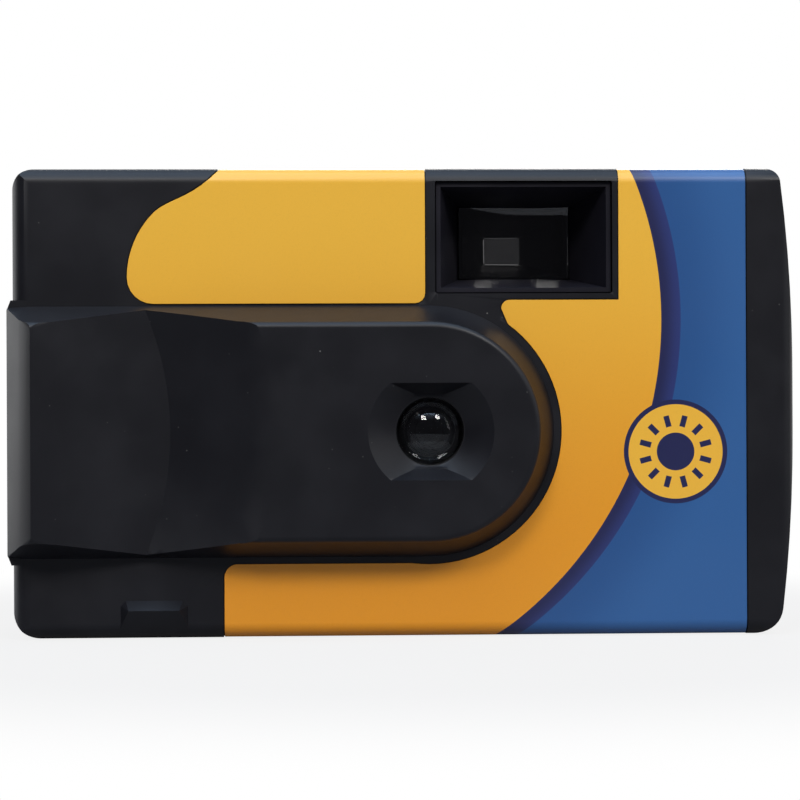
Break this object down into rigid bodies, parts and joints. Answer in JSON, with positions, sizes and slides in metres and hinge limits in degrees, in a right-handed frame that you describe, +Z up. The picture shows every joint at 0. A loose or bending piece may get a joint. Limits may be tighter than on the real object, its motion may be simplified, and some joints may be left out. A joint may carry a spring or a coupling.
{
  "type": "disposable film camera",
  "caption": "Flat single-use film camera with a raised lens panel and side grip, finder window, thumb winding wheel, shutter button and a wrapped printed label.",
  "frame": {"origin": "centre of the bounding box at its bottom, where the camera stands", "axes": "+Z up, the lens looks along -Y, +X to the right as seen from the front"},
  "size_m": [0.1014, 0.036, 0.0604],
  "materials": {
    "cover_black": "moulded black plastic, fine grain",
    "label_print": "printed film label, satin",
    "frame_black": "plain black moulding",
    "works_grey": "dark grey moulding",
    "works_white": "white moulding",
    "spring_steel": "thin spring steel",
    "clear_lens": "clear moulded acrylic",
    "cartridge_metal": "lacquered sheet metal",
    "cartridge_cap": "black crimped metal",
    "trap_felt": "short black plush",
    "film_brown": "coated film"
  },
  "bodies": {
    "camera": {"front_cover": "cover_black", "rear_cover": "cover_black", "cartridge_door": "cover_black", "wrap_label": "label_print", "main_frame": "frame_black", "lens_board": "frame_black", "lens_retainer": "frame_black", "aperture_plate": "spring_steel", "taking_lens": "clear_lens", "blade_spring": "spring_steel", "striker_spring": "spring_steel", "keeper_plate": "frame_black", "counter_window": "clear_lens", "button_spring": "spring_steel", "cartridge_shell": "cartridge_metal", "cartridge_caps": "cartridge_cap", "cartridge_felt": "trap_felt", "film_strip": "film_brown", "finder_housing": "frame_black", "finder_front_lens": "clear_lens", "finder_eyepiece": "clear_lens"},
    "winder": {"thumbwheel": "cover_black", "cartridge_spool": "frame_black"},
    "sprocket": {"sprocket_shaft": "works_white"},
    "supply": {"film_roll": "film_brown", "supply_spool": "frame_black"},
    "counter": {"counter_wheel": "works_white"},
    "button": {"shutter_button": "cover_black"},
    "metering": {"metering_lever": "works_grey"},
    "striker": {"striker_lever": "works_grey"},
    "blade": {"shutter_blade": "spring_steel"},
    "pawl": {"ratchet_pawl": "works_grey"}
  },
  "joints": [
    {"name": "wheel_turn", "type": "hinge", "parent": "camera", "child": "winder", "pos_m": [-0.03385, 0.0038, 0.052], "axis": [0, 0, 1], "continuous": true},
    {"name": "sprocket_turn", "type": "hinge", "parent": "camera", "child": "sprocket", "pos_m": [-0.01235, 0.0093, 0.047], "axis": [0, 0, 1], "continuous": true},
    {"name": "supply_turn", "type": "hinge", "parent": "camera", "child": "supply", "pos_m": [0.03495, 0.005, 0.0265], "axis": [0, 0, 1], "continuous": true},
    {"name": "counter_turn", "type": "hinge", "parent": "camera", "child": "counter", "pos_m": [-0.00589, 0.0016, 0.0549], "axis": [0, 0, 1], "continuous": true},
    {"name": "button_press", "type": "slide", "parent": "camera", "child": "button", "axis": [0, 0, -1], "range_m": [0, 0.0015], "stiffness_N_per_m": 600, "springref_m": -0.0008, "deforming": ["button_spring"]},
    {"name": "metering_swing", "type": "hinge", "parent": "camera", "child": "metering", "pos_m": [-0.01635, 0.001, 0.0515], "axis": [0, 0, 1], "range_deg": [-8, 0]},
    {"name": "striker_swing", "type": "hinge", "parent": "camera", "child": "striker", "pos_m": [-0.00935, -0.002, 0.0475], "axis": [0, 0, 1], "range_deg": [0, 30], "deforming": ["striker_spring"]},
    {"name": "blade_swing", "type": "hinge", "parent": "camera", "child": "blade", "pos_m": [-0.00525, -0.0098, 0.034], "axis": [0, 1, 0], "range_deg": [0, 27.5], "deforming": ["blade_spring"]},
    {"name": "pawl_flex", "type": "hinge", "parent": "camera", "child": "pawl", "pos_m": [-0.01835, -0.0075, 0.0516], "axis": [0, 0, 1], "range_deg": [0, 8], "stiffness_Nm_per_rad": 0.01, "springref_deg": -2.86}
  ],
  "couplings": [
    {"joint": "sprocket_turn", "follows": "wheel_turn", "ratio": 0.9504},
    {"joint": "supply_turn", "follows": "wheel_turn", "ratio": 0.5665},
    {"joint": "counter_turn", "follows": "wheel_turn", "ratio": -0.02376},
    {"joint": "metering_swing", "follows": "button_press", "rad_per_m": -93},
    {"joint": "striker_swing", "follows": "button_press", "rad_per_m": 349},
    {"joint": "blade_swing", "follows": "button_press", "rad_per_m": 319.9}
  ]
}
